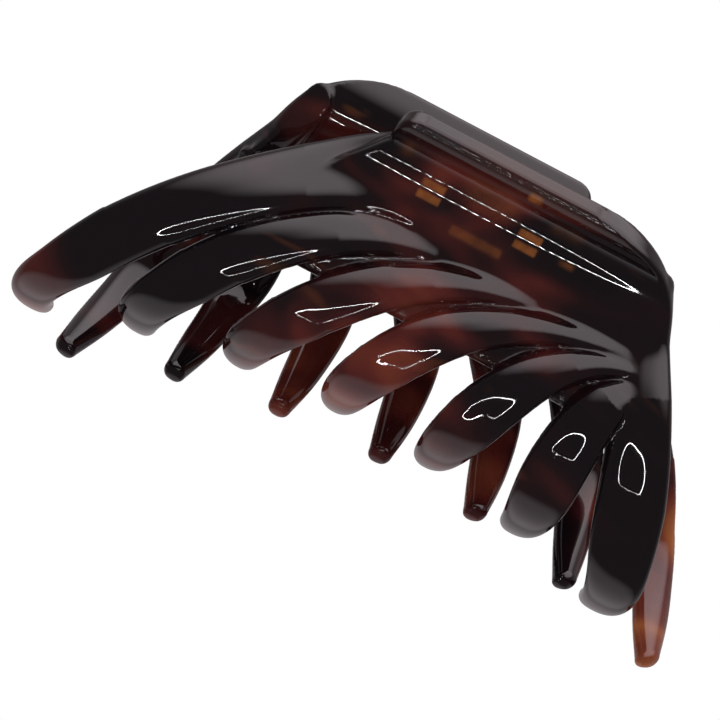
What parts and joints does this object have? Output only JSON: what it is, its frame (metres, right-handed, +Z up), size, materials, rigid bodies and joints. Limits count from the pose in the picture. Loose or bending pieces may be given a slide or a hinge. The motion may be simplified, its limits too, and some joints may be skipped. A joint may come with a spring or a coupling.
{
  "type": "hair claw clip",
  "caption": "Large tortoiseshell hair claw clip: two like moulded jaws with fanned curved fingers, hinged on a wire pin and sprung shut by a torsion coil.",
  "frame": {"origin": "middle of the clip's box at the level of the lowest fingertips, on which the closed clip stands", "axes": "+X along the hinge, the clip's length; +Y from the front jaw to the rear jaw; +Z up, from the fingertips to the thumb tabs"},
  "size_m": [0.0928, 0.028, 0.0474],
  "materials": {
    "tortoiseshell": "polished",
    "pin_steel": "polished",
    "spring_steel": "drawn wire"
  },
  "bodies": {
    "front_half": {"front_jaw": "tortoiseshell", "hinge_pin": "pin_steel", "torsion_spring": "spring_steel"},
    "rear_half": {"rear_jaw": "tortoiseshell"}
  },
  "joints": [
    {"name": "jaw_hinge", "type": "hinge", "parent": "front_half", "child": "rear_half", "pos_m": [0, 0, 0.03864], "axis": [1, 0, 0], "range_deg": [0, 60], "stiffness_Nm_per_rad": 0.05, "springref_deg": -45.84, "deforming": ["torsion_spring"]}
  ]
}
